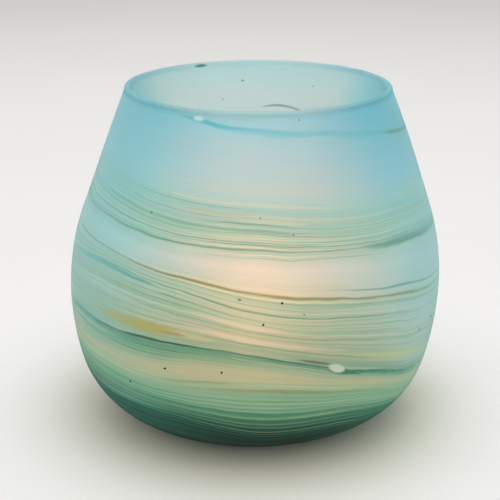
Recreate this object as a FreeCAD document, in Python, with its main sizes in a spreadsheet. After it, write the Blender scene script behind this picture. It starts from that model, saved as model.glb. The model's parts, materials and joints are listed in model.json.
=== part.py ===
import FreeCAD, Part
import math
import os
import Sketcher

# Hand blown art glass vase with a tealight standing in it.
# Millimetres, +Z up. The origin is on the table, on the vase's axis, and -Y is the front.
# The glass is three zones of one blown wall (aqua collar, clouded belly, dark heel) with coloured
# trails, a blister and specks of ash set into its outer skin. The tealight is a cup, wax and a wick.

doc = FreeCAD.newDocument("ArtGlassVase")
sheet = doc.addObject("Spreadsheet::Sheet", "Sizes")

SIZES = {
    # outer shape of the glass: flat foot, heel arc, belly arc, straight leaning wall
    "VaseHeight": 90,
    "BellyRadius": 50,
    "BellyHeight": 36,
    "BellyArc": 67,
    "HeelArc": 23.7,
    "WallLean": 19.3,
    # thickness of the glass
    "WallThick": 2.4,
    "FloorThick": 5,
    "InnerHeelArc": 17,
    "LipFillet": 0.8,
    "SkinDepth": 0.8,
    # hollow under the foot, and how far cutting shapes run past the glass
    "PuntRadius": 17,
    "PuntRise": 1.8,
    "CutReach": 60,
    "CutClear": 10,
    # heights where the colour zones meet, at the far left and far right of the cutting shapes
    "CollarLeftZ": 74.1,
    "CollarRightZ": 66.9,
    "HeelLeftZ": 25.9,
    "HeelRightZ": 15.1,
    # opal blister on the front
    "BlisterAngle": 23,
    "BlisterHeight": 29,
    "BlisterHalfWidth": 2.1,
    "BlisterHalfHeight": 1.3,
    "BlisterHalfDepth": 1.0,
    "BlisterProud": 0.35,
    # specks of ash just under the skin
    "SpeckRadius": 0.4,
    "SpeckDepth": 0.6,
    # tealight
    "CupRadius": 19,
    "CupHeight": 16.5,
    "CupWall": 0.4,
    "CupRim": 0.6,
    "CupFoot": 1.2,
    "WaxHeight": 13.8,
    "WickRadius": 0.8,
    "WickTop": 20.5,
    "TabRadius": 7,
    "TabThick": 0.3,
    "TabNeckRadius": 1.5,
    "TabNeckHeight": 4,
}

# Each trail is the skin of the glass cut out by a long thin blade, seen from the front: its left tip,
# its widest place with its width there, and its right tip. A tip past the glass makes the trail run
# right round. The olive patch is on the front only.
TRAIL_FIELDS = ("LeftX", "LeftZ", "MidX", "MidZ", "Width", "RightX", "RightZ")
TRAILS = {
    "rim_trail": (-19, 89, 12, 84.6, 1.6, 60, 76),
    "pale_green_trail": (-60, 70, 0, 62.6, 1.2, 60, 59.5),
    "green_band_trail": (-60, 63.5, 0, 58.9, 2.2, 60, 54.5),
    "ochre_trail": (-62, 59.5, 3, 48.9, 1.1, 62, 39),
    "teal_thread": (6, 50.4, 30, 47.2, 0.6, 62, 45.5),
    "sage_trail": (-62, 56, 0, 44.6, 0.9, 62, 35.5),
    "dark_green_trail": (-64, 37.4, 6, 33.2, 2.4, 62, 15.5),
    "olive_patch": (-36, 37.8, -20, 37.5, 2.2, -6, 35.8),
    "tan_trail": (-60, 26, -2, 25.9, 0.9, 60, 17),
    "upper_cream_trail": (-60, 24, 10, 16.2, 0.8, 58, 6),
    "lower_cream_trail": (-55, 19.5, 2, 11.2, 0.7, 52, 5.5),
}
FRONT_ONLY = ("olive_patch",)

# Specks: the angle round from the front towards +X, in degrees, and the height. They lie between trails.
SPECKS = {
    "A": (-26.5, 28.5),
    "B": (-9.5, 29.3),
    "C": (-40, 21.9),
    "D": (7, 47.1),
    "E": (2, 42),
    "F": (68, 32),
    "G": (142, 42.2),
    "H": (-118, 54.5),
}


def words(name):
    """rim_trail -> RimTrail"""
    return "".join(word.capitalize() for word in name.split("_"))


for trail, numbers in TRAILS.items():
    for field, number in zip(TRAIL_FIELDS, numbers):
        SIZES[words(trail) + field] = number
for letter, (angle, height) in SPECKS.items():
    SIZES["SpeckAngle" + letter] = angle
    SIZES["SpeckHeight" + letter] = height

for row, (alias, number) in enumerate(SIZES.items(), start=1):
    sheet.set("A%d" % row, alias)
    sheet.set("B%d" % row, str(number))
    sheet.setAlias("B%d" % row, alias)
doc.recompute()


def value(expression):
    return float(sheet.evalExpression(expression))


def bind(feature, **expressions):
    for name, expression in expressions.items():
        feature.setExpression(name, expression)


def new_body(name):
    body = doc.addObject("PartDesign::Body", name)
    sketch = body.newObject("Sketcher::SketchObject", name + "Sketch")
    plane = next(part for part in body.Origin.OriginFeatures if part.Role == "XZ_Plane")
    sketch.AttachmentSupport = (plane, "")
    sketch.MapMode = "FlatFace"
    return body, sketch


def dimension(sketch, kind, *place_and_expression):
    """Add a driving constraint whose number is an expression of the sheet."""
    *place, expression = place_and_expression
    number = value(expression)
    if kind == "Angle":
        number = math.radians(number)
        expression = "(%s) * 1 deg" % expression
    index = sketch.addConstraint(Sketcher.Constraint(kind, *place, number))
    sketch.setExpression("Constraints[%d]" % index, expression)


def polygon(sketch, corners):
    """Closed outline through corners, each a pair of expressions for x and z."""
    points = [FreeCAD.Vector(value(x), value(z), 0) for x, z in corners]
    count = len(points)
    for start in range(count):
        sketch.addGeometry(Part.LineSegment(points[start], points[(start + 1) % count]))
    for start in range(count):
        sketch.addConstraint(Sketcher.Constraint("Coincident", start, 2, (start + 1) % count, 1))
    for start, (x, z) in enumerate(corners):
        dimension(sketch, "DistanceX", -1, 1, start, 1, x)
        dimension(sketch, "DistanceY", -1, 1, start, 1, z)


def slab(name, corners, front_only=False):
    """Prism with the given outline seen from the front, running from front to back."""
    body, sketch = new_body(name)
    polygon(sketch, corners)
    pad = body.newObject("PartDesign::Pad", name + "Pad")
    pad.Profile = sketch
    if front_only:
        bind(pad, Length="Sizes.CutReach")
    else:
        pad.SideType = "Symmetric"
        bind(pad, Length="2 * Sizes.CutReach")
    return body


def revolve(body, sketch):
    turn = body.newObject("PartDesign::Revolution", body.Name + "Turn")
    turn.Profile = sketch
    turn.ReferenceAxis = (sketch, ["V_Axis"])
    turn.Angle = 360
    return body


def turned_polygon(name, corners):
    body, sketch = new_body(name)
    polygon(sketch, corners)
    return revolve(body, sketch)


def turned_vessel(name, floor, heel_arc, belly_arc, top):
    """Solid of the vase's shape: flat floor, heel arc, belly arc and straight wall up to the top."""
    floor_z = value(floor)
    heel_radius = value(heel_arc)
    belly_radius = value(belly_arc)
    top_z = value(top)
    lean = math.radians(value("Sizes.WallLean"))
    belly_centre = FreeCAD.Vector(value("Sizes.BellyRadius - Sizes.BellyArc"), value("Sizes.BellyHeight"), 0)
    heel_drop = belly_centre.y - floor_z - heel_radius
    heel_run = math.sqrt((belly_radius - heel_radius) ** 2 - heel_drop ** 2)
    heel_centre = FreeCAD.Vector(belly_centre.x + heel_run, floor_z + heel_radius, 0)
    join = math.atan2(-heel_drop, heel_run)
    wall_x = belly_centre.x + belly_radius * math.cos(lean)
    wall_z = belly_centre.y + belly_radius * math.sin(lean)
    top_x = wall_x - (top_z - wall_z) * math.tan(lean)
    normal = FreeCAD.Vector(0, 0, 1)

    body, sketch = new_body(name)
    floor_line, heel, belly, wall, top_line, axis_line = range(6)
    floor_end = FreeCAD.Vector(heel_centre.x, floor_z, 0)
    sketch.addGeometry(Part.LineSegment(FreeCAD.Vector(0, floor_z, 0), floor_end))
    sketch.addGeometry(Part.ArcOfCircle(Part.Circle(heel_centre, normal, heel_radius), -math.pi / 2, join))
    sketch.addGeometry(Part.ArcOfCircle(Part.Circle(belly_centre, normal, belly_radius), join, lean))
    sketch.addGeometry(Part.LineSegment(FreeCAD.Vector(wall_x, wall_z, 0), FreeCAD.Vector(top_x, top_z, 0)))
    sketch.addGeometry(Part.LineSegment(FreeCAD.Vector(top_x, top_z, 0), FreeCAD.Vector(0, top_z, 0)))
    sketch.addGeometry(Part.LineSegment(FreeCAD.Vector(0, top_z, 0), FreeCAD.Vector(0, floor_z, 0)))
    for before, after in ((floor_line, heel), (heel, belly), (belly, wall)):
        sketch.addConstraint(Sketcher.Constraint("Tangent", before, 2, after, 1))
    for before, after in ((wall, top_line), (top_line, axis_line), (axis_line, floor_line)):
        sketch.addConstraint(Sketcher.Constraint("Coincident", before, 2, after, 1))
    sketch.addConstraint(Sketcher.Constraint("Horizontal", floor_line))
    sketch.addConstraint(Sketcher.Constraint("Horizontal", top_line))
    sketch.addConstraint(Sketcher.Constraint("PointOnObject", axis_line, 1, -2))
    sketch.addConstraint(Sketcher.Constraint("PointOnObject", axis_line, 2, -2))
    dimension(sketch, "Radius", heel, heel_arc)
    dimension(sketch, "Radius", belly, belly_arc)
    dimension(sketch, "DistanceX", belly, 3, -1, 1, "Sizes.BellyArc - Sizes.BellyRadius")
    dimension(sketch, "DistanceY", -1, 1, belly, 3, "Sizes.BellyHeight")
    dimension(sketch, "DistanceY", floor_line, 1, belly, 3, "Sizes.BellyHeight - (%s)" % floor)
    dimension(sketch, "DistanceY", -1, 1, wall, 2, top)
    dimension(sketch, "Angle", wall, "90 + Sizes.WallLean")
    return revolve(body, sketch)


def boolean(kind, name, base, tool):
    feature = doc.addObject("Part::" + kind, name)
    feature.Base = base
    feature.Tool = tool
    return feature


def glass_shapes():
    """The whole vase, its outside as a solid, and the core that lies under the coloured skin."""
    outside = turned_vessel(
        "Outside", "0", "Sizes.HeelArc", "Sizes.BellyArc", "Sizes.VaseHeight")
    hollow = turned_vessel(
        "Hollow", "Sizes.FloorThick", "Sizes.InnerHeelArc", "Sizes.BellyArc - Sizes.WallThick",
        "Sizes.VaseHeight + Sizes.CutClear")
    core = turned_vessel(
        "Core", "Sizes.SkinDepth", "Sizes.HeelArc - Sizes.SkinDepth", "Sizes.BellyArc - Sizes.SkinDepth",
        "Sizes.VaseHeight + Sizes.CutClear")
    punt = doc.addObject("Part::Sphere", "Punt")
    bind(punt, Radius="(Sizes.PuntRadius ^ 2 + Sizes.PuntRise ^ 2) / (2 * Sizes.PuntRise)")
    punt.setExpression(".Placement.Base.z", "Sizes.PuntRise - Radius / 1 mm")
    footed = boolean("Cut", "Footed", outside, punt)
    opened = boolean("Cut", "Opened", footed, hollow)
    doc.recompute()

    rim_height = value("Sizes.VaseHeight") - 0.001
    rim_edges = [
        number for number, edge in enumerate(opened.Shape.Edges, start=1)
        if edge.Closed and edge.BoundBox.ZMin > rim_height
    ]
    vase = doc.addObject("Part::Fillet", "Vase")
    vase.Base = opened
    fillet = value("Sizes.LipFillet")
    vase.Edges = [(number, fillet, fillet) for number in rim_edges]
    return vase, outside, core


def skin_radius(height):
    """Expression for the belly's outer radius at a height."""
    return ("(Sizes.BellyRadius - Sizes.BellyArc"
            " + sqrt(Sizes.BellyArc ^ 2 - (%s - Sizes.BellyHeight) ^ 2))" % height)


def place_round(feature, reach, angle, height):
    """Put a feature at a reach from the axis, at an angle from the front towards +X."""
    feature.Placement = FreeCAD.Placement(
        FreeCAD.Vector(0, 0, 0), FreeCAD.Rotation(FreeCAD.Vector(0, 0, 1), value(angle)))
    feature.setExpression(".Placement.Base.x", "%s * sin(%s * 1 deg)" % (reach, angle))
    feature.setExpression(".Placement.Base.y", "-%s * cos(%s * 1 deg)" % (reach, angle))
    feature.setExpression(".Placement.Base.z", height)


def blister_shape(core):
    """Opal blister: the outer cap of an ellipsoid that stands a little proud of the belly."""
    blob = doc.addObject("Part::Ellipsoid", "BlisterBlob")
    bind(blob, Radius1="Sizes.BlisterHalfHeight", Radius2="Sizes.BlisterHalfWidth",
         Radius3="Sizes.BlisterHalfDepth")
    reach = "(%s + Sizes.BlisterProud - Sizes.BlisterHalfDepth)" % skin_radius("Sizes.BlisterHeight")
    place_round(blob, reach, "Sizes.BlisterAngle", "Sizes.BlisterHeight")
    return blob, boolean("Cut", "opal_blister", blob, core)


def ash_specks():
    specks = []
    for letter in SPECKS:
        speck = doc.addObject("Part::Sphere", "Speck" + letter)
        bind(speck, Radius="Sizes.SpeckRadius")
        height = "Sizes.SpeckHeight" + letter
        reach = "(%s - Sizes.SpeckDepth)" % skin_radius(height)
        place_round(speck, reach, "Sizes.SpeckAngle" + letter, height)
        specks.append(speck)
    group = doc.addObject("Part::Compound", "ash_specks")
    group.Links = specks
    return group


def glass_trail(name, outside, core, blister):
    prefix = "Sizes." + words(name)
    corners = (
        (prefix + "LeftX", prefix + "LeftZ"),
        (prefix + "MidX", "%sMidZ + %sWidth / 2" % (prefix, prefix)),
        (prefix + "RightX", prefix + "RightZ"),
        (prefix + "MidX", "%sMidZ - %sWidth / 2" % (prefix, prefix)),
    )
    blade = slab(words(name) + "Blade", corners, name in FRONT_ONLY)
    slice_through = boolean("Common", words(name) + "Slice", outside, blade)
    if name == "dark_green_trail":
        slice_through = boolean("Cut", words(name) + "Notched", slice_through, blister)
    return boolean("Cut", name, slice_through, core)


def glass_zone(name, vase, inlays, lower_left, lower_right, upper_left, upper_right):
    """Part of the vase between two sloping levels, without what is set into its skin."""
    corners = (
        ("-Sizes.CutReach", lower_left),
        ("Sizes.CutReach", lower_right),
        ("Sizes.CutReach", upper_right),
        ("-Sizes.CutReach", upper_left),
    )
    zone = slab(words(name) + "Zone", corners)
    whole = boolean("Common", words(name) + "Whole", vase, zone)
    return boolean("Cut", name, whole, inlays)


def glass():
    vase, outside, core = glass_shapes()
    blob, blister = blister_shape(core)
    specks = ash_specks()
    trails = [glass_trail(name, outside, core, blob) for name in TRAILS]
    inlays = doc.addObject("Part::Compound", "Inlays")
    inlays.Links = trails + [blister, specks]
    below = "-Sizes.CutClear"
    above = "Sizes.VaseHeight + Sizes.CutClear"
    collar = glass_zone("aqua_collar", vase, inlays, "Sizes.CollarLeftZ", "Sizes.CollarRightZ", above, above)
    belly = glass_zone("clouded_belly", vase, inlays, "Sizes.HeelLeftZ", "Sizes.HeelRightZ",
                       "Sizes.CollarLeftZ", "Sizes.CollarRightZ")
    heel = glass_zone("dark_heel", vase, inlays, below, below, "Sizes.HeelLeftZ", "Sizes.HeelRightZ")
    return [collar, belly, heel, *trails, blister, specks]


def candle_cup():
    """Thin metal cup with a chamfered foot and a turned-out rim."""
    return turned_polygon("candle_cup", (
        ("0", "0"),
        ("Sizes.CupRadius - Sizes.CupFoot", "0"),
        ("Sizes.CupRadius", "Sizes.CupFoot"),
        ("Sizes.CupRadius", "Sizes.CupHeight - Sizes.CupRim"),
        ("Sizes.CupRadius + Sizes.CupRim", "Sizes.CupHeight - Sizes.CupRim / 2"),
        ("Sizes.CupRadius", "Sizes.CupHeight"),
        ("Sizes.CupRadius - Sizes.CupWall", "Sizes.CupHeight"),
        ("Sizes.CupRadius - Sizes.CupWall", "Sizes.CupFoot + Sizes.CupWall / 2"),
        ("Sizes.CupRadius - Sizes.CupFoot - Sizes.CupWall / 2", "Sizes.CupWall"),
        ("0", "Sizes.CupWall"),
    ))


def wick_tab():
    """Pressed plate on the cup's floor whose short neck grips the wick."""
    return turned_polygon("wick_tab", (
        ("Sizes.WickRadius", "Sizes.CupWall"),
        ("Sizes.TabRadius", "Sizes.CupWall"),
        ("Sizes.TabRadius", "Sizes.CupWall + Sizes.TabThick"),
        ("Sizes.TabNeckRadius", "Sizes.CupWall + Sizes.TabThick"),
        ("Sizes.TabNeckRadius", "Sizes.TabNeckHeight"),
        ("Sizes.WickRadius", "Sizes.TabNeckHeight"),
    ))


def wick():
    cord = doc.addObject("Part::Cylinder", "wick")
    bind(cord, Radius="Sizes.WickRadius", Height="Sizes.WickTop - Sizes.CupWall")
    cord.setExpression(".Placement.Base.z", "Sizes.FloorThick + Sizes.CupWall")
    return cord


def wax():
    """Wax that fills the cup round the tab and the wick, with its top under the cup's rim."""
    return turned_polygon("wax", (
        ("Sizes.TabRadius", "Sizes.CupWall"),
        ("Sizes.CupRadius - Sizes.CupFoot - Sizes.CupWall / 2", "Sizes.CupWall"),
        ("Sizes.CupRadius - Sizes.CupWall", "Sizes.CupFoot + Sizes.CupWall / 2"),
        ("Sizes.CupRadius - Sizes.CupWall", "Sizes.WaxHeight"),
        ("Sizes.WickRadius", "Sizes.WaxHeight"),
        ("Sizes.WickRadius", "Sizes.TabNeckHeight"),
        ("Sizes.TabNeckRadius", "Sizes.TabNeckHeight"),
        ("Sizes.TabNeckRadius", "Sizes.CupWall + Sizes.TabThick"),
        ("Sizes.TabRadius", "Sizes.CupWall + Sizes.TabThick"),
    ))


def tealight():
    turned = [candle_cup(), wax(), wick_tab()]
    for body in turned:
        body.setExpression(".Placement.Base.z", "Sizes.FloorThick")
    return turned + [wick()]


nodes = glass() + tealight()
doc.recompute()

for feature in doc.Objects:
    if "Invalid" in feature.State or "Error" in feature.State:
        raise RuntimeError("%s failed: %s" % (feature.Name, feature.State))
for node in nodes:
    if node.Shape.isNull() or not node.Shape.isValid() or node.Shape.Volume <= 0:
        raise RuntimeError("%s has no valid shape" % node.Label)

os.makedirs("parts", exist_ok=True)
for node in nodes:
    node.Shape.exportStep(os.path.join("parts", node.Label + ".step"))
    box = node.Shape.BoundBox
    print("%-18s %2d solids %9.1f mm3  z %.2f to %.2f" % (
        node.Label, len(node.Shape.Solids), node.Shape.Volume, box.ZMin, box.ZMax))
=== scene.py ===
import json
import math

import bmesh
import bpy
import numpy as np
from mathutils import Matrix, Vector, noise

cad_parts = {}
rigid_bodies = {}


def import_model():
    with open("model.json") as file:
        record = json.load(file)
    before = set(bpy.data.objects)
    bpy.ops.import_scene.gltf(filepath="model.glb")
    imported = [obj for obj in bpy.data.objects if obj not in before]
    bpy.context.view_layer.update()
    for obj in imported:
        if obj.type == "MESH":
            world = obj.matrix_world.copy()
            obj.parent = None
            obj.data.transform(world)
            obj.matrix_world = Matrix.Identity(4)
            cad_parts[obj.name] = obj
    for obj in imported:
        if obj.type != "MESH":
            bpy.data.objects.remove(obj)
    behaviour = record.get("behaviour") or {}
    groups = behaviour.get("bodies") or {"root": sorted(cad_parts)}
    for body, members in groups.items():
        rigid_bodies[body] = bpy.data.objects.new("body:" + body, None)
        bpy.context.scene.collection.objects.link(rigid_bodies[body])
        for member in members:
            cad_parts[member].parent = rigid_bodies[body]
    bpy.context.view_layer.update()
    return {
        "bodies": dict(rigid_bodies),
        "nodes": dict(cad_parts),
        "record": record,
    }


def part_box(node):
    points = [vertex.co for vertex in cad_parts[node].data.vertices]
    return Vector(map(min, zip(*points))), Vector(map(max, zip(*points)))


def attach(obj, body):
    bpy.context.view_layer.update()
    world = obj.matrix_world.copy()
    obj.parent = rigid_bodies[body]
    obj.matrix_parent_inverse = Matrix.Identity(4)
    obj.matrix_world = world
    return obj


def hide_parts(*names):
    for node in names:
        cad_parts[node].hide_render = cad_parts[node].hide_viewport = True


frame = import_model()

# Metres throughout, +Z up, -Y to the front. Angles round the vase are degrees from the front,
# positive towards +X. Heights and widths in the tables are millimetres, as the glass is described in them.
MM = 0.001

# The vase's shape: the same few driving dimensions as the CAD model's
VASE_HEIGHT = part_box("aqua_collar")[1].z
BELLY_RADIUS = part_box("clouded_belly")[1].x
BELLY_HEIGHT = 36 * MM
BELLY_ARC = 67 * MM
HEEL_ARC = 23.7 * MM
WALL_LEAN = math.radians(19.3)
WALL_THICK = 2.4 * MM
FLOOR_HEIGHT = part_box("candle_cup")[0].z
INNER_HEEL_ARC = 17 * MM
PUNT_RADIUS = 17 * MM
PUNT_RISE = 1.8 * MM

# The lip: the height of its round, how square that is, and how far the wall draws in and thins towards it
LIP_HEIGHT = 1.2 * MM
LIP_SQUARENESS = 0.75
LIP_DRAW = 0.55 * MM
LIP_THINNING = 0.3 * MM
LIP_TAPER = 22 * MM

# Hand work: waves and finer ripples in the wall, which set in above the foot, waves along the lip,
# and a lean of the whole vase towards +X
WAVE_SCALE = 22
WAVE_DEPTH = 0.5 * MM
RIPPLE_SCALE = 55
RIPPLE_DEPTH = 0.12 * MM
RIPPLE_SHIFT = Vector((7, 3, 1))
STEADY_HEIGHT = 4 * MM
STEADY_FADE = 12 * MM
STEADY_RADIUS = 20 * MM
LIP_WAVE_SCALE = 1.3
LIP_WAVE_DEPTH = 0.35 * MM
LIP_WAVE_START = 0.6
AXIS_LEAN = 0.0141

# The glass mesh: its columns, the length between its rows on the walls, and the rows elsewhere
GLASS_COLUMNS = 288
ARC_STEP = 1.2 * MM
PUNT_ROWS = 14
FOOT_ROWS = 7
LIP_ROWS = 12
FLOOR_ROWS = 14

# The attribute "inside" sets in from the top of the lip, and is full this far below it
LIP_CROWN = 0.3 * MM
INSIDE_FADE = 3 * MM

GLASS_NODES = [node for node in frame["record"]["behaviour"]["bodies"]["vase"] if node != "ash_specks"]

# Opal blister on the front: millimetres but for its angle, and its slope in millimetres a degree
BLISTER_ANGLE = 24
BLISTER_HEIGHT = 29
BLISTER_HALF_WIDTH = 2.3
BLISTER_HALF_HEIGHT = 1.2
BLISTER_SLOPE = 0.3
BLISTER_SWELL = 0.5 * MM


# ---------------------------------------------------------------- mesh helpers

def mesh_object(name, vertices, faces, body):
    mesh = bpy.data.meshes.new(name)
    mesh.from_pydata([tuple(vertex) for vertex in vertices], [], faces)
    mesh.polygons.foreach_set("use_smooth", [True] * len(mesh.polygons))
    mesh.update()
    made = bpy.data.objects.new(name, mesh)
    bpy.context.scene.collection.objects.link(made)
    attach(made, body)
    return made


def lathe_faces(rows, columns):
    """Faces of a lathed mesh whose first and last rows are single points."""
    def index(row, column):
        return 1 + (row - 1) * columns + column % columns

    faces = [(0, index(1, column + 1), index(1, column)) for column in range(columns)]
    for row in range(1, rows - 2):
        for column in range(columns):
            faces.append((index(row, column), index(row, column + 1),
                          index(row + 1, column + 1), index(row + 1, column)))
    tip = 1 + (rows - 2) * columns
    faces += [(index(rows - 2, column), index(rows - 2, column + 1), tip) for column in range(columns)]
    return faces


def around(column, columns):
    """Unit direction and angle of a column of a lathed mesh: column 0 is at the back."""
    angle = 2 * math.pi * column / columns - math.pi
    return Vector((math.sin(angle), -math.cos(angle), 0)), math.degrees(angle)


def flat_points(start, end, count):
    """Points between two radius and height points, without the last one."""
    return [tuple(a + (b - a) * step / count for a, b in zip(start, end)) for step in range(count)]


# ---------------------------------------------------------------- shape of the glass

def vessel_outline(floor, heel_arc, belly_arc, top):
    """Radius and height points from the edge of the flat floor up to the top."""
    belly_x = BELLY_RADIUS - BELLY_ARC
    drop = BELLY_HEIGHT - floor - heel_arc
    heel_x = belly_x + math.sqrt((belly_arc - heel_arc) ** 2 - drop ** 2)
    heel_z = floor + heel_arc
    join = math.atan2(-drop, heel_x - belly_x)
    points = []
    steps = round(heel_arc * (join + math.pi / 2) / ARC_STEP)
    for step in range(steps):
        angle = -math.pi / 2 + (join + math.pi / 2) * step / steps
        points.append((heel_x + heel_arc * math.cos(angle), heel_z + heel_arc * math.sin(angle)))
    steps = round(belly_arc * (WALL_LEAN - join) / ARC_STEP)
    for step in range(steps):
        angle = join + (WALL_LEAN - join) * step / steps
        points.append((belly_x + belly_arc * math.cos(angle), BELLY_HEIGHT + belly_arc * math.sin(angle)))
    wall_x = belly_x + belly_arc * math.cos(WALL_LEAN)
    wall_z = BELLY_HEIGHT + belly_arc * math.sin(WALL_LEAN)
    steps = round((top - wall_z) / ARC_STEP)
    for step in range(steps + 1):
        height = wall_z + (top - wall_z) * step / steps
        points.append((wall_x - (height - wall_z) * math.tan(WALL_LEAN), height))
    return points


def lip_taper(height, power):
    """Share of the wall's taper towards the lip at a height: 1 at the lip, and 0 from LIP_TAPER down."""
    return max(0, 1 - (VASE_HEIGHT - height) / LIP_TAPER) ** power


def glass_outline():
    """Closed half section of the vase, from the middle of its underside round to its inner floor."""
    wall_top = VASE_HEIGHT - LIP_HEIGHT
    outer = vessel_outline(0, HEEL_ARC, BELLY_ARC, wall_top)
    outer = [(radius - LIP_DRAW * lip_taper(height, 2), height) for radius, height in outer]
    inner = vessel_outline(FLOOR_HEIGHT, INNER_HEEL_ARC, BELLY_ARC - WALL_THICK, wall_top)
    inner = [(radius + LIP_THINNING * lip_taper(height, 1.5), height) for radius, height in inner]
    punt = [(PUNT_RADIUS * share, PUNT_RISE * (1 - share ** 2))
            for share in np.linspace(0, 1, PUNT_ROWS, endpoint=False)]
    foot = flat_points((PUNT_RADIUS, 0), outer[0], FOOT_ROWS)
    middle = (outer[-1][0] + inner[-1][0]) / 2
    half = (outer[-1][0] - inner[-1][0]) / 2
    lip = []
    for step in range(1, LIP_ROWS):
        angle = math.pi * step / LIP_ROWS
        across = math.copysign(abs(math.cos(angle)) ** LIP_SQUARENESS, math.cos(angle))
        drop = 1 - math.sin(angle) ** LIP_SQUARENESS
        lip.append((middle + half * across, VASE_HEIGHT - LIP_HEIGHT * drop))
    floor = flat_points(inner[0], (0, FLOOR_HEIGHT), FLOOR_ROWS)[1:]
    return punt + foot + outer + lip + inner[::-1] + floor + [(0, FLOOR_HEIGHT)]


def blown(point, direction, swell):
    """A point of the glass with the unevenness of hand work, and swollen outwards by a given length."""
    radius, height = point
    place = direction * radius + Vector((0, 0, height))
    wave = noise.noise(place * WAVE_SCALE) * WAVE_DEPTH
    wave += noise.noise(place * RIPPLE_SCALE + RIPPLE_SHIFT) * RIPPLE_DEPTH
    free = min(1.0, max(0.0, (height - STEADY_HEIGHT) / STEADY_FADE)) * min(1, radius / STEADY_RADIUS)
    place += direction * (wave * free + swell)
    lip_share = max(0, height / VASE_HEIGHT - LIP_WAVE_START)
    place.z += noise.noise(direction * LIP_WAVE_SCALE) * LIP_WAVE_DEPTH * lip_share
    place.x += AXIS_LEAN * height
    return place


def blister_swell(point, angle):
    """How far the blister swells the outer skin at a point."""
    radius, height = point
    turn = angle - BLISTER_ANGLE
    across = turn * math.radians(radius / MM) / BLISTER_HALF_WIDTH
    up = (height / MM - BLISTER_HEIGHT + turn * BLISTER_SLOPE) / BLISTER_HALF_HEIGHT
    return BLISTER_SWELL * math.exp(-(across ** 2 + up ** 2))


# ---------------------------------------------------------------- flow of the colours

# The colours of the glass run along streamlines that wind round the vase. Each line here is named by
# about the height at which it crosses the front, and has its height at each of the angles.
FLOW_ANGLES = (-180, -135, -90, -60, -30, 0, 30, 60, 90, 135)
STREAMLINES = {
    0: (0, 0, 0, 0, 0, 0, 0, 0, 0, 0),
    11: (8.5, 11.5, 15.5, 15.5, 15, 11.3, 11, 7.5, 6.2, 7),
    15.7: (14, 18, 21.5, 20.5, 18.4, 15.7, 15.3, 10.8, 9.5, 11),
    26: (20.5, 24, 27.5, 26.5, 25.2, 26, 22.7, 16.2, 13.5, 15.5),
    33.6: (28, 33, 36, 35.6, 35.4, 33.6, 26.8, 20, 17.5, 20),
    44.9: (42.5, 47, 49.5, 51.7, 50, 45.1, 41, 38, 36, 37.5),
    49.2: (48.5, 54, 56.5, 55.2, 52.6, 49.2, 45.6, 42.3, 40, 42),
    58: (57.5, 60.5, 62, 60.9, 59, 58, 57, 55.8, 54.5, 54.5),
    62: (62.5, 66.5, 68.5, 66.6, 63.4, 62, 60.4, 59.5, 58.5, 59.5),
    86: (83, 87.5, 90.5, 90, 88.1, 86, 84.1, 81.6, 79.3, 79.5),
    100: (97, 101.5, 104.5, 104.2, 102.9, 100, 98.1, 95.6, 93.3, 93.5),
}


def smooth_around(heights, angle):
    """Height of a streamline at an angle, by a smooth curve through its given heights."""
    knots = np.array(FLOW_ANGLES + (180,), float)
    values = np.array(heights + (heights[0],), float)
    span = int(np.clip(np.searchsorted(knots, angle, side="right") - 1, 0, len(knots) - 2))
    slopes = np.gradient(np.concatenate((values[-3:-1], values, values[1:3])),
                         np.concatenate((knots[-3:-1] - 360, knots, knots[1:3] + 360)))[2:-2]
    width = knots[span + 1] - knots[span]
    share = (angle - knots[span]) / width
    return ((2 * share ** 3 - 3 * share ** 2 + 1) * values[span]
            + (share ** 3 - 2 * share ** 2 + share) * width * slopes[span]
            + (3 * share ** 2 - 2 * share ** 3) * values[span + 1]
            + (share ** 3 - share ** 2) * width * slopes[span + 1])


def build_glass():
    """The whole vase as one mesh, with the flow of its colours and its inside as attributes."""
    outline = glass_outline()
    columns = [around(column, GLASS_COLUMNS) for column in range(GLASS_COLUMNS)]
    tables = [[smooth_around(heights, angle) for heights in STREAMLINES.values()] for _, angle in columns]
    labels = list(STREAMLINES)
    vertices = []
    flow = []
    inside = []
    outer_side = True
    for row, point in enumerate(outline):
        height = point[1]
        outer_side = outer_side and height < VASE_HEIGHT - LIP_CROWN
        single = row in (0, len(outline) - 1)
        for (direction, angle), table in zip(columns[:1] if single else columns, tables):
            vertices.append(blown(point, direction, blister_swell(point, angle) if outer_side else 0))
            flow.append(np.interp(height / MM, table, labels))
            inside.append(0 if outer_side else min(1, (VASE_HEIGHT - height) / INSIDE_FADE))
    faces = lathe_faces(len(outline), GLASS_COLUMNS)
    glass = mesh_object("frosted_glass", vertices, faces, "vase")
    for name, values in (("flow", flow), ("inside", inside)):
        attribute = glass.data.attributes.new(name, "FLOAT", "POINT")
        attribute.data.foreach_set("value", values)
    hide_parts(*GLASS_NODES)
    return glass


# ---------------------------------------------------------------- material helpers

def colour(shade):
    """A node socket as it is, a number as a grey, or a screen colour of 0 to 255 as linear RGBA."""
    if isinstance(shade, bpy.types.NodeSocket):
        return shade
    if isinstance(shade, (int, float)):
        return (shade, shade, shade, 1.0)
    linear = [((part / 255 + 0.055) / 1.055) ** 2.4 for part in shade]
    return (*linear, 1.0)


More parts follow.
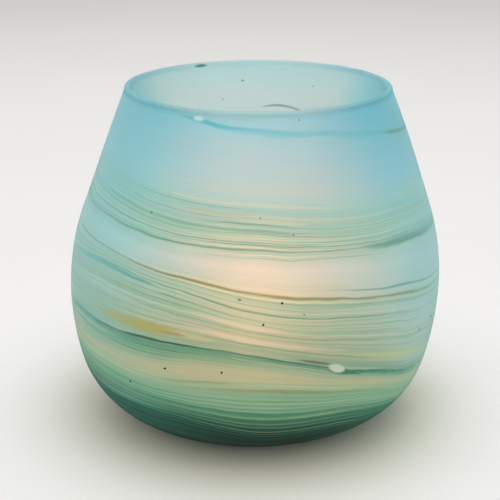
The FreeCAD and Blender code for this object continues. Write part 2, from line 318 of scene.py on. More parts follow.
class Material:
    """A node material with short ways to add the nodes that the scene uses."""

    def __init__(self, name):
        self.material = bpy.data.materials.new(name)
        self.material.use_nodes = True
        self.tree = self.material.node_tree
        self.shader = self.tree.nodes["Principled BSDF"]
        self.place = self.node("TexCoord").outputs["Object"]

    def node(self, kind, inputs=None, **settings):
        made = self.tree.nodes.new("ShaderNode" + kind)
        for name, setting in settings.items():
            setattr(made, name, setting)
        for name, given in (inputs or {}).items():
            self.put(made.inputs[name], given)
        return made

    def put(self, socket, given):
        if isinstance(given, bpy.types.NodeSocket):
            self.tree.links.new(given, socket)
        else:
            socket.default_value = given

    def math(self, operation, *numbers):
        made = self.tree.nodes.new("ShaderNodeMath")
        made.operation = operation
        for socket, number in zip(made.inputs, numbers):
            self.put(socket, number)
        return made.outputs[0]

    def axes(self):
        """The X, Y and Z of the place."""
        return self.node("SeparateXYZ", {"Vector": self.place}).outputs

    def offset(self, number, middle, half):
        """Distance of a number above a middle, in halves."""
        return self.math("DIVIDE", self.math("SUBTRACT", number, middle), half)

    def squares(self, first, second):
        """Sum of the squares of two numbers."""
        return self.math("MULTIPLY_ADD", first, first, self.math("MULTIPLY", second, second))

    def step(self, number, low, high, out_low=0.0, out_high=1.0):
        """Smooth step of a number from low to high."""
        made = self.node("MapRange", {"Value": number, "From Min": low, "From Max": high,
                                      "To Min": out_low, "To Max": out_high},
                         interpolation_type="SMOOTHSTEP")
        return made.outputs["Result"]

    def noise(self, vector, scale, detail=2.0, roughness=0.5):
        made = self.node("TexNoise", {"Vector": vector, "Scale": scale, "Detail": detail,
                                      "Roughness": roughness})
        return made.outputs["Fac"]

    def mix(self, share, first, second, blend="MIX"):
        made = self.node("Mix", data_type="RGBA", blend_type=blend)
        self.put(made.inputs["Factor"], share)
        self.put(made.inputs["A"], colour(first))
        self.put(made.inputs["B"], colour(second))
        return made.outputs["Result"]

    def ramp(self, share, stops):
        made = self.node("ValToRGB", {"Fac": share})
        ramp = made.color_ramp
        while len(ramp.elements) < len(stops):
            ramp.elements.new(0.5)
        for element, (place, shade) in zip(ramp.elements, stops):
            element.position = place
        for element, (place, shade) in zip(ramp.elements, stops):
            element.color = colour(shade)
        return made.outputs["Color"]

    def set(self, **inputs):
        for name, given in inputs.items():
            self.put(self.shader.inputs[name.replace("_", " ")], given)

    def bump(self, height, strength, distance):
        made = self.node("Bump", {"Height": height, "Strength": strength, "Distance": distance})
        self.set(Normal=made.outputs["Normal"])


# ---------------------------------------------------------------- glass material

# Colours of the pale layer at the front and round the sides, and of the darker strands in it, from the foot
# up, by flow height. The palest peach on the front, at flow height 55, is partly the glass's cream and
# partly painted candle glow
FRONT_LAYER = (
    (0, (0, 36, 30)),
    (9, (2, 74, 54)),
    (12.5, (16, 104, 74)),
    (17, (124, 188, 144)),
    (22, (172, 206, 168)),
    (27, (222, 216, 176)),
    (31, (224, 208, 174)),
    (36, (208, 200, 166)),
    (43, (214, 208, 180)),
    (49, (228, 220, 198)),
    # partly painted candle glow: this palest peach band lies where the flame shows through the front wall
    (55, (250, 232, 220)),
    (60, (228, 222, 202)),
    (66, (226, 220, 204)),
    (72, (224, 222, 214)),
    (80, (208, 218, 218)),
    (90, (184, 218, 226)),
)
SIDE_LAYER = (
    (0, (0, 60, 52)),
    (9, (0, 124, 106)),
    (12.5, (44, 168, 140)),
    (17, (120, 198, 164)),
    (22, (160, 214, 182)),
    (27, (204, 220, 188)),
    (31, (200, 218, 192)),
    (38, (200, 224, 208)),
    (44, (196, 228, 222)),
    (55, (198, 234, 236)),
    (60, (182, 224, 218)),
    (66, (178, 226, 226)),
    (72, (176, 224, 232)),
    (80, (160, 217, 229)),
    (90, (134, 208, 222)),
)
STRAND_LAYER = (
    (0, (0, 34, 30)),
    (10, (0, 64, 54)),
    (15, (36, 122, 96)),
    (20, (104, 182, 146)),
    (28, (162, 208, 166)),
    (33, (128, 186, 158)),
    (38, (174, 202, 170)),
    (48, (164, 206, 182)),
    (55, (196, 232, 222)),
    (60, (140, 198, 174)),
    (67, (174, 220, 206)),
    (74, (174, 236, 246)),
    (90, (120, 214, 240)),
)
# How strongly the strands show, by flow height
STRAND_STRENGTH = ((0, 0.4), (9, 0.7), (14, 0.9), (21, 0.9), (25, 0.5), (29, 0.8), (34, 1.0), (37, 0.8),
                   (43, 0.8), (45, 0.9), (49, 0.8), (51.5, 0.2), (56.5, 0.2), (58.5, 1.0), (67, 1.0),
                   (72, 0.2), (90, 0.15))
# The flow height at the end of the ramps
RAMP_TOP = 100

# Broad soft strands, fine dark ones and hair-fine pale ones: the noise's scale along and across the
# flow, its detail, and where it steps in
STRANDS = ((20, 0.22, 1, 0.40, 0.62), (12, 1.7, 2, 0.48, 0.56), (9, 2.8, 1, 0.56, 0.62))
# The noise that moves the streamlines: its scale, and the height that it moves them through
FLOW_WAVERS = ((40, 1.8), (150, 0.4))

INNER_SKIN = (234, 253, 255)
INNER_COLLAR = (238, 252, 255)
INNER_EDGE = (164, 228, 242)
HAZE = (162, 222, 230)
BACK_SKIN = (242, 252, 254)
# The lip's shades are its turquoise, darkened in part as painted shade on its upward-facing top
LIP = (88, 170, 186)
LIP_FRONT = (168, 202, 196)
HAIR = (238, 242, 216)
FLECK = (84, 92, 70)
BLISTER = (228, 236, 220)

# Shades of the trails, the spots and the thread
TURQUOISE = (98, 200, 210)
TEAL = (66, 166, 150)
DARK_GREEN = (46, 130, 100)
FOREST = (20, 84, 66)
MEADOW_GREEN = (88, 176, 136)
BOTTLE_GREEN = (100, 168, 138)
PALE_GREEN = (138, 194, 166)
KHAKI = (210, 206, 148)
SAND = (226, 212, 172)
MUSTARD = (204, 196, 112)
LIME = (216, 228, 158)
OLIVE = (156, 166, 98)
MOSS = (172, 206, 150)
OCHRE = (176, 144, 84)
BROWN = (116, 114, 84)
CREAM = (250, 238, 204)
PEACH = (248, 230, 212)
AQUA = (98, 190, 182)
BUBBLE = (232, 246, 246)
THREAD = (112, 128, 96)

# Trails and smears: flow height, half width, shade, the angle in its middle, half its length and strength
TRAILS = (
    (85.9, 0.60, TURQUOISE, -18, 16, 0.8),
    (85.7, 0.90, TURQUOISE, 0, 24, 0.45),
    (86.2, 0.90, TURQUOISE, 48, 64, 0.5),
    (85.8, 0.70, BOTTLE_GREEN, 72, 18, 1.0),
    (69.0, 0.50, CREAM, 0, 34, 0.5),
    (66.7, 0.35, KHAKI, -12, 14, 0.7),
    (68.0, 0.20, PALE_GREEN, -26, 30, 0.7),
    (65.8, 0.16, BOTTLE_GREEN, -30, 34, 0.6),
    (65.4, 0.50, CREAM, 6, 12, 0.4),
    (64.7, 0.22, BOTTLE_GREEN, -2, 18, 0.7),
    (63.2, 0.60, PALE_GREEN, 2, 16, 0.6),
    (62.6, 0.14, BOTTLE_GREEN, 10, 40, 0.5),
    (60.6, 0.14, BOTTLE_GREEN, -20, 50, 0.6),
    (63.4, 0.40, PALE_GREEN, -30, 46, 0.8),
    (61.6, 0.22, CREAM, 0, 32, 0.9),
    (59.6, 0.20, CREAM, -4, 20, 0.8),
    (60.2, 0.20, BOTTLE_GREEN, 16, 60, 0.6),
    (59.0, 0.30, BOTTLE_GREEN, 0, 110, 0.7),
    (59.2, 2.00, BOTTLE_GREEN, 66, 34, 0.55),
    (58.3, 0.40, TEAL, 66, 30, 0.6),
    (71.5, 0.70, LIME, 66, 9, 0.5),
    (69.4, 0.50, LIME, 62, 12, 0.5),
    (57.9, 0.18, CREAM, 2, 30, 0.9),
    (57.2, 0.14, BOTTLE_GREEN, 14, 34, 0.7),
    (50.9, 0.28, TEAL, 48, 28, 0.7),
    (50.3, 0.40, PEACH, -12, 46, 0.5),
    (49.3, 0.44, OLIVE, -6, 110, 0.95),
    (49.3, 0.30, OCHRE, -4, 28, 1.0),
    (48.5, 0.25, PEACH, 0, 64, 0.8),
    (47.9, 0.16, OLIVE, 10, 54, 0.7),
    (46.5, 0.20, PALE_GREEN, -14, 60, 0.8),
    (45.0, 0.36, BOTTLE_GREEN, -5, 60, 0.9),
    (44.4, 0.60, AQUA, -50, 28, 0.8),
    (43.3, 0.20, PALE_GREEN, 20, 54, 0.7),
    (43.1, 0.18, BOTTLE_GREEN, -12, 44, 0.7),
    (42.2, 0.24, PALE_GREEN, -22, 40, 0.7),
    (41.4, 0.80, PEACH, -4, 16, 0.5),
    (40.2, 0.16, BOTTLE_GREEN, 6, 44, 0.7),
    (39.2, 0.22, PALE_GREEN, 12, 56, 0.7),
    (38.0, 0.70, PEACH, 2, 28, 0.6),
    (36.8, 0.18, BOTTLE_GREEN, 16, 44, 0.6),
    (37.2, 1.10, LIME, 50, 26, 0.6),
    (36.4, 1.40, MUSTARD, -34, 20, 1.0),
    (36.2, 0.80, SAND, -18, 9, 0.8),
    (36.1, 0.45, OCHRE, -23, 5, 0.6),
    (33.2, 0.70, BOTTLE_GREEN, -30, 90, 0.8),
    (32.0, 0.90, MEADOW_GREEN, -30, 64, 0.5),
    (31.2, 0.16, BOTTLE_GREEN, -34, 40, 0.7),
    (30.4, 0.14, MEADOW_GREEN, -28, 40, 0.7),
    (32.4, 0.14, DARK_GREEN, -8, 44, 0.7),
    (33.2, 1.50, MEADOW_GREEN, 43, 24, 0.9),
    (33.9, 0.34, DARK_GREEN, -5, 130, 0.85),
    (34.0, 0.30, FOREST, -28, 16, 0.8),
    (34.8, 0.50, BROWN, 17, 6, 0.9),
    (33.0, 0.90, DARK_GREEN, 27, 7, 0.8),
    (28.8, 2.60, SAND, 2, 80, 0.6),
    (26.1, 0.28, OCHRE, -17, 14, 0.5),
    (26.0, 0.20, CREAM, 20, 26, 0.8),
    (25.9, 0.26, CREAM, -50, 26, 0.7),
    (24.3, 0.70, OLIVE, 12, 38, 0.6),
    (15.8, 0.30, MOSS, 16, 44, 0.9),
    (12.6, 1.10, PALE_GREEN, -45, 20, 0.6),
    (11.3, 0.22, MOSS, 8, 50, 0.5),
)
# The raggedness of the trails' edges: the noise's scale along and across the flow, its share and shift
RAGGED_SCALES = (70, 0.9)
RAGGED_SHARE = 1.5
RAGGED_SHIFT = -0.7

# The angle in the middle of the pale front, and the smooth steps that fade one layer into the next. Each
# has where it starts and ends, then its two values if they aren't 0 and 1.
FRONT_ANGLE = 5
SIDE_FADE = (8, 56)
BACK_FADE = (78, 142)
BACK_RISE = (50 * MM, 72 * MM)
HAIR_RISE = (8, 20, 0.1, 0.42)
TRAIL_EDGE = (1.3, 0.3)
HAZE_FADE = (30, 72, 0, 0.42)
HAZE_RISE = (24, 36)
BLISTER_EDGE = (1.3, 0.5)
LIP_SIDES = (12 * MM, 28 * MM)
LIP_RISE = (VASE_HEIGHT - 2 * MM, VASE_HEIGHT - 0.6 * MM, 0, 0.5)
COLLAR_RISE = (48 * MM, 76 * MM)
INNER_SIDES = (20 * MM, 35 * MM, 0, 0.9)
INNER_TOP = (78 * MM, 90 * MM, 0, 0.4)
INNER_RISE = (60 * MM, 72 * MM)
SPOT_EDGE = (1.6, 0.3, 0, 0.9)
FLECK_EDGE = (1.5, 0.3, 0, 0.8)
THREAD_EDGE = (1.5, 0.1, 0, 0.6)

# How much of the strands and of the inner skin shows
BROAD_SHARE = 0.6
FINE_SHARE = 0.9
INNER_SHARE = 0.88

# The ground skin's grain
GRAIN_SCALE = 2600
GRAIN_STRENGTH = 0.12
GRAIN_DEPTH = 0.2 * MM

# Spots in the skin: angle, height, half their angle, half height and shade
SPOTS = ((-22, 88, 2.2, 0.55, BUBBLE), (-153, 89.3, 3.4, 0.42, DARK_GREEN))

# Small flecks in the glass: angle, height and half width, and how flat they are
FLECKS = ((-175, 84, 0.5), (-166, 78.5, 0.3), (151, 83, 0.3), (-35, 65.5, 0.4), (2, 66.5, 0.3),
          (12, 62.5, 0.3), (-4, 48, 0.5), (14, 44, 0.3), (58, 31.5, 0.5), (17.5, 88, 0.3),
          (118, 62, 0.4), (-142, 33, 0.4), (96, 24, 0.4), (-84, 50, 0.4), (170, 24, 0.3))
FLECK_FLATNESS = 0.7

# Thread on the back wall: angle and height of the top of its arch, its drop in millimetres by degrees
# squared, its half thickness, and the middle and half of its length as angles from the top
THREAD_ANGLE = 169
THREAD_HEIGHT = 76.3
THREAD_DROP = 0.014
THREAD_HALF_THICKNESS = 0.4
THREAD_MIDDLE = -5
THREAD_REACH = 12


class ArtGlass(Material):
    """The vase's glass. Its colours are laid one over the other, by angle, height and flow."""

    def __init__(self):
        super().__init__("etched_art_glass")
        self.x, self.y, self.z = self.axes()
        self.angle = self.math("DEGREES", self.math("ARCTAN2", self.x, self.math("MULTIPLY", self.y, -1)))
        self.from_front = self.math("ABSOLUTE", self.math("SUBTRACT", self.angle, FRONT_ANGLE))
        self.flow = self.wavering_flow()
        self.pattern = self.layers()

    def wavering_flow(self):
        """The flow of the colours, with streamlines that waver a little."""
        flow = self.node("Attribute", attribute_name="flow").outputs["Fac"]
        for scale, reach in FLOW_WAVERS:
            flow = self.math("MULTIPLY_ADD", self.noise(self.place, scale, 1), reach, flow)
        return self.math("SUBTRACT", flow, sum(reach for _, reach in FLOW_WAVERS) / 2)

    def drawn_noise(self, along, across, detail):
        """Noise that is drawn out along the flow."""
        drawn = self.node("CombineXYZ", {"X": self.math("MULTIPLY", self.x, along),
                                         "Y": self.math("MULTIPLY", self.y, along),
                                         "Z": self.math("MULTIPLY", self.flow, across)})
        return self.noise(drawn.outputs[0], 1, detail, 0.6)

    def lay(self, share, shade):
        """Lay a shade over the pattern."""
        self.pattern = self.mix(share, self.pattern, shade)

    def layers(self):
        """The pale layer at the front, sides and back, with the strands in it."""
        level = self.math("DIVIDE", self.flow, RAMP_TOP)
        ramps = [self.ramp(level, [(height / RAMP_TOP, shade) for height, shade in stops])
                 for stops in (FRONT_LAYER, SIDE_LAYER, STRAND_LAYER, STRAND_STRENGTH)]
        front, side, dark, strength = ramps
        pale = self.mix(self.step(self.from_front, *SIDE_FADE), front, side)
        behind = self.step(self.math("ABSOLUTE", self.angle), *BACK_FADE)
        pale = self.mix(self.math("MULTIPLY", behind, self.step(self.z, *BACK_RISE)), pale, BACK_SKIN)

        broad, fine, hair = (self.step(self.drawn_noise(along, across, detail), low, high)
                             for along, across, detail, low, high in STRANDS)
        darker = self.math("MAXIMUM", self.math("MULTIPLY", broad, BROAD_SHARE),
                           self.math("MULTIPLY", fine, FINE_SHARE))
        pattern = self.mix(self.math("MULTIPLY", darker, strength), pale, dark)
        hair = self.math("MULTIPLY", hair, strength)
        hair = self.math("MULTIPLY", hair, self.step(self.flow, *HAIR_RISE))
        return self.mix(hair, pattern, HAIR)

    def lay_trails(self):
        """Each trail is drawn out to a point at both ends, with ragged edges."""
        ragged = self.math("MULTIPLY_ADD", self.drawn_noise(*RAGGED_SCALES, 2), RAGGED_SHARE, RAGGED_SHIFT)
        for level, half_width, shade, middle, reach, strength in TRAILS:
            off = self.math("ABSOLUTE", self.offset(self.flow, level, half_width))
            far = self.offset(self.angle, middle, reach)
            away = self.math("MULTIPLY_ADD", far, far, self.math("ADD", off, ragged))
            self.lay(self.step(away, *TRAIL_EDGE, 0, strength), shade)

    def lay_haze(self):
        """Round the sides the colours sink into a blue-green haze."""
        haze = self.step(self.from_front, *HAZE_FADE)
        self.lay(self.math("MULTIPLY", haze, self.step(self.flow, *HAZE_RISE)), HAZE)

    def lay_blister(self):
        """The opal blister is a sloping ellipse."""
        across = self.offset(self.angle, BLISTER_ANGLE, BLISTER_HALF_WIDTH / math.radians(BELLY_RADIUS / MM))
        up = self.math("MULTIPLY_ADD", self.math("SUBTRACT", self.angle, BLISTER_ANGLE), BLISTER_SLOPE,
                       self.math("MULTIPLY_ADD", self.z, 1 / MM, -BLISTER_HEIGHT))
        up = self.math("DIVIDE", up, BLISTER_HALF_HEIGHT)
        self.lay(self.step(self.squares(across, up), *BLISTER_EDGE), BLISTER)

    def lay_lip(self):
        """The lip is darker than the collar, and darkest towards its two sides: partly the lip's turquoise,
        partly painted shade on its top, which faces up to the light.
        """
        sides = self.step(self.math("ABSOLUTE", self.x), *LIP_SIDES)
        self.lay(self.step(self.z, *LIP_RISE), self.mix(sides, LIP_FRONT, LIP))

    def lay_inside(self):
        """The colours lie in the outer skin, and only show faintly inside."""
        inner = self.mix(self.step(self.z, *COLLAR_RISE), INNER_SKIN, INNER_COLLAR)
        sides = self.step(self.math("ABSOLUTE", self.x), *INNER_SIDES)
        edge = self.math("MAXIMUM", sides, self.step(self.z, *INNER_TOP))
        inner = self.mix(self.math("MULTIPLY", edge, self.step(self.z, *INNER_RISE)), inner, INNER_EDGE)
        inside = self.node("Attribute", attribute_name="inside").outputs["Fac"]
        self.lay(self.math("MULTIPLY", inside, INNER_SHARE), inner)

    def lay_spot(self, turn, height, half_turn, half_height, shade, edge):
        """A soft ellipse of a shade in the skin."""
        across = self.offset(self.angle, turn, half_turn)
        up = self.offset(self.z, height * MM, half_height * MM)
        self.lay(self.step(self.squares(across, up), *edge), shade)

    def lay_thread(self):
        """A thin thread arches on the back wall."""
        turn = self.math("SUBTRACT", self.angle, THREAD_ANGLE)
        arch = self.math("MULTIPLY_ADD", self.math("MULTIPLY", turn, turn), THREAD_DROP, -THREAD_HEIGHT)
        off = self.math("DIVIDE", self.math("MULTIPLY_ADD", self.z, 1 / MM, arch), THREAD_HALF_THICKNESS)
        ends = self.math("POWER", self.offset(turn, THREAD_MIDDLE, THREAD_REACH), 4)
        off = self.math("MULTIPLY_ADD", off, off, ends)
        self.lay(self.step(off, *THREAD_EDGE), THREAD)


def glass_material():
    glass = ArtGlass()
    glass.lay_trails()
    glass.lay_haze()
    glass.lay_blister()
    glass.lay_lip()
    glass.lay_inside()
    for spot in SPOTS:
        glass.lay_spot(*spot, SPOT_EDGE)
    glass.lay_thread()
    for turn, height, half in FLECKS:
        half_turn = math.degrees(half * MM / BELLY_RADIUS)
        glass.lay_spot(turn, height, half_turn, half * FLECK_FLATNESS, FLECK, FLECK_EDGE)
    glass.set(Base_Color=glass.pattern, Roughness=0.7, Transmission_Weight=0.5, IOR=1.45,
              Subsurface_Weight=1.0, Subsurface_Scale=4 * MM, Subsurface_Radius=(1.0, 0.84, 0.8),
              Specular_IOR_Level=0.3)
    glass.bump(glass.noise(glass.place, GRAIN_SCALE, 2), GRAIN_STRENGTH, GRAIN_DEPTH)
    return glass.material


# ---------------------------------------------------------------- specks of ash

# Angle round from the front and height of each speck, then how deep they sit, how flat and how rough
# they are
SPECKS = ((-26.5, 28.5), (-9.5, 29.3), (-40, 21.9), (7, 47.1), (2, 42), (68, 32), (142, 42.2), (-118, 54.5))
SPECK_RADIUS = 0.4 * MM
SPECK_DEPTH = 0.2
SPECK_FLATNESS = 0.4
SPECK_NOISE_SCALE = 3200
SPECK_SHARE = 0.8
SPECK_ROUGHNESS = 0.5


def build_specks():
    """Crumbs of ash that lie in the skin of the glass."""
    radii, heights = zip(*vessel_outline(0, HEEL_ARC, BELLY_ARC, VASE_HEIGHT))
    mesh = bmesh.new()
    for angle, height in SPECKS:
        radius = np.interp(height * MM, heights, radii)
        turn = math.radians(angle)
        direction = Vector((math.sin(turn), -math.cos(turn), 0))
        centre = blown((radius - SPECK_RADIUS * SPECK_DEPTH, height * MM), direction, 0)
        crumb = bmesh.ops.create_icosphere(mesh, subdivisions=3, radius=SPECK_RADIUS)["verts"]
        for vertex in crumb:
            own_noise = noise.noise(vertex.co * SPECK_NOISE_SCALE + Vector((angle, height, 0)))
            rough = SPECK_SHARE + SPECK_ROUGHNESS * own_noise
            flat = vertex.co - direction * vertex.co.dot(direction) * SPECK_FLATNESS
            vertex.co = centre + flat * rough
    data = bpy.data.meshes.new("ash_crumbs")
    mesh.to_mesh(data)
    mesh.free()
    data.polygons.foreach_set("use_smooth", [True] * len(data.polygons))
    crumbs = bpy.data.objects.new("ash_crumbs", data)
    bpy.context.scene.collection.objects.link(crumbs)
    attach(crumbs, "vase")
    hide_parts("ash_specks")

    ash = Material("ash")
    grain = ash.noise(ash.place, 4000, 2)
    ash.set(Base_Color=ash.ramp(grain, [(0.35, (26, 34, 30)), (0.65, (70, 66, 52))]), Roughness=0.8)
    data.materials.append(ash.material)


# ---------------------------------------------------------------- lamps

def lamp(name, kind, place, size, power, tint):
    """A lamp whose tint is linear, and whose size is its radius, or its width if it is a disk."""
    data = bpy.data.lights.new(name, kind)
    data.energy = power
    data.color = tint
    if kind == "AREA":
        data.shape = "DISK"
        data.size = size
    else:
        data.shadow_soft_size = size
    light = bpy.data.objects.new(name, data)
    light.location = place
    bpy.context.scene.collection.objects.link(light)
    return light


# ---------------------------------------------------------------- tealight

CUP_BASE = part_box("candle_cup")[0].z
CUP_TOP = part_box("candle_cup")[1].z
CUP_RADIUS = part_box("wax")[1].x + 0.4 * MM
RIM_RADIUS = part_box("candle_cup")[1].x
WAX_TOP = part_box("wax")[1].z
WICK_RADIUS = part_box("wick")[1].x
WICK_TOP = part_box("wick")[1].z
WICK_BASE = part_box("wick")[0].z

# The cup: its foil, the raised middle of its base, the round at its foot, its rolled rim and its flutes
CUP_COLUMNS = 240
FOIL = 0.25 * MM
CUP_UNDERSIDE = CUP_BASE + 0.05 * MM
DISH_RISE = 0.5 * MM
DISH_RADIUS = 13 * MM
DISH_SLOPE = 0.4 * MM
FOOT_ARC = 1.4 * MM
SIDE_START = CUP_UNDERSIDE + 2 * MM
BEAD_HEIGHT = CUP_TOP - 0.45 * MM
BEAD_HALF_HEIGHT = 0.43 * MM
BEAD_TURN = math.pi * 1.25
SIDE_END = BEAD_HEIGHT - 0.6 * MM
BEAD_FOOT = BEAD_HEIGHT - 0.5 * MM
FLUTES = 60
FLUTE_DEPTH = 0.16 * MM
FLUTE_LOW = CUP_UNDERSIDE + 2.5 * MM
FLUTE_HIGH = BEAD_HEIGHT - 1.2 * MM
FLUTE_FADE = 1 * MM

# The wax: its edge and base in the cup, the melt pool round the wick, and where it climbs the cup and wick
WAX_COLUMNS = 160
WAX_RADIUS = CUP_RADIUS - 0.45 * MM
WAX_BASE = CUP_BASE + 0.9 * MM
WAX_LEVEL = WAX_TOP - 0.3 * MM
POOL_DEPTH = 0.9 * MM
POOL_EDGE = 0.62
POOL_STEEPNESS = 22
CUP_CLIMB = 0.35 * MM
CUP_CLIMB_WIDTH = 0.03
WICK_CLIMB = 0.5 * MM
WICK_CLIMB_WIDTH = 0.07
WAX_UNEVENNESS = 0.18 * MM

# The wick: its lowest and highest rows, its tip, its braid, and where it starts to lean and to thin
WICK_LOW = WICK_BASE + 0.1 * MM
WICK_HIGH = WICK_TOP - 0.4 * MM
WICK_TIP = Vector((0.95 * MM, 0, WICK_TOP - 0.1 * MM))
WICK_ROWS = 46
WICK_COLUMNS = 20
BRAID_DEPTH = 0.10
BRAID_PITCH = 34
LEAN_START = 0.7
WICK_LEAN = 0.9 * MM
THIN_START = 0.85
WICK_THINNING = 0.35

# The flame: where it starts and ends, how low its widest part is and how full, and its lamp
FLAME_COLUMNS = 48
FLAME_BASE = WICK_TOP - 3.4 * MM
FLAME_TOP = WICK_TOP + 11 * MM
FLAME_RADIUS = 2.5 * MM
FLAME_BELLY = 0.62
FLAME_FULLNESS = 0.9
FLAME_SHIFT = Vector((0.4 * MM, 0, 0))
CANDLE_LAMP_SIZE = 4 * MM
CANDLE_POWER = 0.017
CANDLE_TINT = (1.0, 0.43, 0.19)


def lathe(name, outline, columns, shape):
    """Closed lathed piece of the tealight from points of radius and height. Shape moves each point."""
    vertices = []
    for row, (radius, height) in enumerate(outline):
        for column in range(1 if row in (0, len(outline) - 1) else columns):
            direction, angle = around(column, columns)
            vertices.append(shape(direction * radius + Vector((0, 0, height)), direction, angle))
    return mesh_object(name, vertices, lathe_faces(len(outline), columns), "tealight")


def cup_outline():
    """Closed half section of the cup, from the middle of its underside round to the middle inside."""
    middle = CUP_UNDERSIDE + DISH_RISE
    foot = CUP_RADIUS - FOOT_ARC
    outer = flat_points((0, middle), (DISH_RADIUS, middle), 10)
    outer += flat_points((DISH_RADIUS + DISH_SLOPE, CUP_UNDERSIDE), (foot, CUP_UNDERSIDE), 4)
    outer += [(foot + FOOT_ARC * math.sin(turn), CUP_UNDERSIDE + FOOT_ARC * (1 - math.cos(turn)))
              for turn in np.linspace(0, math.pi / 2, 7)]
    outer += flat_points((CUP_RADIUS, SIDE_START), (CUP_RADIUS, SIDE_END), 14)
    bead = (RIM_RADIUS - CUP_RADIUS + FOIL) / 2
    rim = [(RIM_RADIUS - bead - bead * math.cos(turn), BEAD_HEIGHT + BEAD_HALF_HEIGHT * math.sin(turn))
           for turn in np.linspace(0, BEAD_TURN, 12)[1:]]
    inner = [(radius - FOIL, height + (FOIL if height < SIDE_START else 0))
             for radius, height in outer[:0:-1]]
    return outer + [(CUP_RADIUS, BEAD_FOOT)] + rim + inner + [(0, middle + FOIL)]


def fluted(place, direction, angle):
    """A point of the cup's side, pressed in between its flutes."""
    share = min(1, max(0, (place.z - FLUTE_LOW) / FLUTE_FADE))
    share *= min(1, max(0, (FLUTE_HIGH - place.z) / FLUTE_FADE))
    return place - direction * (FLUTE_DEPTH * share * (0.5 + 0.5 * math.cos(math.radians(angle) * FLUTES)))


def build_cup():
    """Drawn metal cup with a fluted side and a rolled rim."""
    cup = lathe("fluted_cup", cup_outline(), CUP_COLUMNS, fluted)
    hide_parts("candle_cup")
    metal = Material("drawn_aluminium")
    stretched = metal.node("Mapping", {"Vector": metal.place, "Scale": (900, 900, 60)}).outputs[0]
    scratches = metal.noise(stretched, 1, 3)
    metal.set(Base_Color=metal.ramp(scratches, [(0.3, (206, 206, 204)), (0.7, (228, 228, 226))]),
              Metallic=1.0, Roughness=metal.step(scratches, 0.3, 0.7, 0.24, 0.38))
    metal.bump(scratches, 0.15, 0.1 * MM)
    cup.data.materials.append(metal.material)


def uneven(place, direction, angle):
    """A point of the wax, whose top isn't quite even."""
    if place.z > WAX_TOP - 1.5 * MM:
        place.z += noise.noise(place * 160) * WAX_UNEVENNESS
    return place


def build_wax():
    """Wax with a dished melt pool round the wick and a little climb at the cup's wall."""
    outline = [(0, WAX_BASE), (WAX_RADIUS - 2 * MM, WAX_BASE), (WAX_RADIUS - 0.6 * MM, WAX_BASE + 0.5 * MM),
               (WAX_RADIUS, WAX_BASE + 1.6 * MM)]
    outline += flat_points((WAX_RADIUS, WAX_BASE + 2 * MM), (WAX_RADIUS, WAX_LEVEL), 8)
    for share in np.linspace(1, 0, 34):
        pool = POOL_DEPTH / (1 + math.exp((share - POOL_EDGE) * POOL_STEEPNESS))
        climb = CUP_CLIMB * math.exp(-((1 - share) / CUP_CLIMB_WIDTH) ** 2)
        climb += WICK_CLIMB * math.exp(-(share / WICK_CLIMB_WIDTH) ** 2)
        outline.append((WAX_RADIUS * share, WAX_LEVEL - pool + climb))
    wax = lathe("wax_fill", outline, WAX_COLUMNS, uneven)
    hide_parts("wax")

    paraffin = Material("paraffin")
    x, y, _ = paraffin.axes()
    wet = paraffin.step(paraffin.math("SQRT", paraffin.squares(x, y)), 12 * MM, 10 * MM)
    cloud = paraffin.noise(paraffin.place, 180, 3)
    solid = paraffin.ramp(cloud, [(0.3, (206, 198, 180)), (0.7, (216, 210, 196))])
    paraffin.set(Base_Color=paraffin.mix(wet, solid, (200, 184, 150)), Subsurface_Weight=0.8,
                 Subsurface_Scale=4 * MM, Roughness=paraffin.step(wet, 0, 1, 0.45, 0.08))
    wax.data.materials.append(paraffin.material)


def build_wick():
    """Braided cotton wick that leans and is charred at its tip."""
    vertices = [Vector((0, 0, WICK_BASE))]
    for row in range(WICK_ROWS):
        share = row / (WICK_ROWS - 1)
        height = WICK_LOW + (WICK_HIGH - WICK_LOW) * share
        lean = WICK_LEAN * (max(0, share - LEAN_START) / (1 - LEAN_START)) ** 2
        thin = 1 - WICK_THINNING * max(0, share - THIN_START) / (1 - THIN_START)
        for column in range(WICK_COLUMNS):
            direction, angle = around(column, WICK_COLUMNS)
            crossings = [abs(math.sin(math.radians(angle) * 2 + share * pitch))
                         for pitch in (BRAID_PITCH, -BRAID_PITCH)]
            braid = 1 - BRAID_DEPTH * sum(crossings)
            vertices.append(direction * WICK_RADIUS * braid * thin + Vector((lean, 0, height)))
    vertices.append(WICK_TIP)
    faces = lathe_faces(WICK_ROWS + 2, WICK_COLUMNS)
    wick = mesh_object("braided_wick", vertices, faces, "tealight")
    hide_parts("wick")

    cotton = Material("charred_cotton")
    height = cotton.math("MULTIPLY_ADD", cotton.noise(cotton.place, 900, 2), 1.5 * MM, cotton.axes()[2])
    charred = cotton.step(height, WAX_TOP + 1.2 * MM, WAX_TOP + 3.5 * MM)
    fibres = cotton.noise(cotton.place, 2600, 2)
    thread = cotton.ramp(fibres, [(0.3, (222, 210, 184)), (0.7, (240, 232, 212))])
    cotton.set(Base_Color=cotton.mix(charred, thread, (26, 20, 18)), Roughness=0.9)
    wick.data.materials.append(cotton.material)


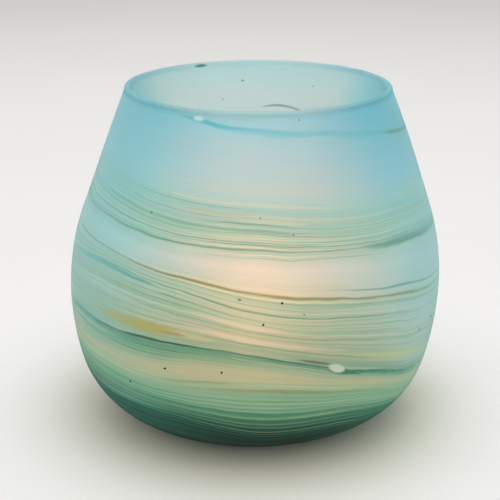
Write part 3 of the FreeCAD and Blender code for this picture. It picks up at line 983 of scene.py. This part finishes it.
def build_flame():
    """Candle flame round the top of the wick, and the lamp for its light."""
    outline = [(0, FLAME_BASE)]
    for share in np.linspace(0.04, 0.98, 26):
        swell = math.sin(math.pi * share ** FLAME_BELLY) ** FLAME_FULLNESS
        outline.append((FLAME_RADIUS * swell, FLAME_BASE + (FLAME_TOP - FLAME_BASE) * share))
    outline.append((0, FLAME_TOP))
    flame = lathe("flame", outline, FLAME_COLUMNS, lambda place, *_: place + FLAME_SHIFT)
    glow = Material("candle_flame")
    share = glow.step(glow.axes()[2], FLAME_BASE, FLAME_TOP)
    shade = glow.ramp(share, [(0, (60, 90, 220)), (0.25, (255, 170, 90)), (0.6, (255, 222, 150)),
                              (1, (255, 190, 90))])
    glow.set(Base_Color=shade, Emission_Color=shade, Emission_Strength=2.5, Roughness=1.0)
    flame.data.materials.append(glow.material)
    flame.visible_shadow = False

    middle = (0, 0, (FLAME_BASE + FLAME_TOP) / 2)
    light = lamp("candle_light", "POINT", middle, CANDLE_LAMP_SIZE, CANDLE_POWER, CANDLE_TINT)
    light.parent = frame["bodies"]["tealight"]


def finish_wick_tab():
    """The wick's tab stays as the CAD shape, in tinned steel."""
    tin = Material("tinned_steel")
    spots = tin.noise(tin.place, 700, 3)
    tin.set(Base_Color=tin.ramp(spots, [(0.3, (176, 176, 172)), (0.7, (206, 206, 202))]), Metallic=1.0,
            Roughness=tin.step(spots, 0.3, 0.7, 0.3, 0.45))
    tab = frame["nodes"]["wick_tab"]
    for tab_slot in tab.material_slots:
        tab_slot.material = tin.material


# ---------------------------------------------------------------- camera, table and light

CAMERA_DISTANCE = 336 * MM
CAMERA_HEIGHT = 156.7 * MM
CAMERA_SIDE = -0.9 * MM
CAMERA_PITCH = math.radians(18.53)
CAMERA_LENS = 93.6
SENSOR_WIDTH = 36

# The table's half width, and the painted light and shade on it by distance from the vase as a share of that:
# a warm painted shadow at the vase's foot, painted light just round it, and painted shade farther out
TABLE_HALF = 3.0
TABLE_PAINTED_LIGHT_AND_SHADE = (
    (0.014, (241, 238, 222)),
    (0.021, (255, 253, 253)),
    (0.033, (255, 253, 255)),
    (0.053, (249, 248, 250)),
    (0.13, 0.89),
    (0.205, 0.79),
    (0.275, 0.68),
    (0.4, 0.74),
    (0.7, 0.92),
    (1.0, 0.98),
)

# The overhead softbox, the weak fill in the vase's mouth and the studio round them
SOFTBOX_PLACE = (0, 0.02, 1.0)
SOFTBOX_SIZE = 0.9
SOFTBOX_POWER = 2.45
SOFTBOX_TINT = (234, 245, 255)
FILL_PLACE = (0, 4 * MM, 70 * MM)
FILL_SIZE = 15 * MM
FILL_POWER = 0.006
FILL_TINT = (236, 246, 255)
STUDIO_TINT = (255, 254, 251)
STUDIO_STRENGTH = 0.95


def build_camera():
    data = bpy.data.cameras.new("camera")
    data.lens = CAMERA_LENS
    data.sensor_width = SENSOR_WIDTH
    data.clip_start = 10 * MM
    camera = bpy.data.objects.new("camera", data)
    camera.location = (CAMERA_SIDE, -CAMERA_DISTANCE, CAMERA_HEIGHT)
    camera.rotation_euler = (math.pi / 2 - CAMERA_PITCH, 0, 0)
    bpy.context.scene.collection.objects.link(camera)
    bpy.context.scene.camera = camera


def build_stage():
    floor = Material("pale_table")
    mottle = floor.ramp(floor.noise(floor.place, 6, 3), [(0.3, (235, 233, 231)), (0.7, (238, 236, 234))])
    x, y, _ = floor.axes()
    out = floor.math("SQRT", floor.squares(x, y))
    # Painted light and shade on the table: a warm painted shadow at the vase's foot, lighter just round it,
    # and darker farther out
    painted_light_and_shade = floor.ramp(floor.math("DIVIDE", out, TABLE_HALF), TABLE_PAINTED_LIGHT_AND_SHADE)
    floor.set(Base_Color=floor.mix(1.0, mottle, painted_light_and_shade, "MULTIPLY"), Roughness=0.6)
    mesh = bpy.data.meshes.new("table")
    mesh.from_pydata([(-TABLE_HALF, -TABLE_HALF, 0), (TABLE_HALF, -TABLE_HALF, 0),
                      (TABLE_HALF, TABLE_HALF, 0), (-TABLE_HALF, TABLE_HALF, 0)], [], [(0, 1, 2, 3)])
    mesh.materials.append(floor.material)
    table = bpy.data.objects.new("table", mesh)
    bpy.context.scene.collection.objects.link(table)


def build_light():
    lamp("overhead_softbox", "AREA", SOFTBOX_PLACE, SOFTBOX_SIZE, SOFTBOX_POWER, colour(SOFTBOX_TINT)[:3])
    lamp("mouth_fill", "POINT", FILL_PLACE, FILL_SIZE, FILL_POWER, colour(FILL_TINT)[:3])
    world = bpy.data.worlds.new("studio")
    world.use_nodes = True
    background = world.node_tree.nodes["Background"]
    background.inputs["Color"].default_value = colour(STUDIO_TINT)
    background.inputs["Strength"].default_value = STUDIO_STRENGTH
    bpy.context.scene.world = world
    bpy.context.scene.view_settings.view_transform = "Standard"


glass = build_glass()
glass.data.materials.append(glass_material())
build_camera()
build_stage()
build_light()
build_specks()
build_cup()
build_wax()
build_wick()
build_flame()
finish_wick_tab()
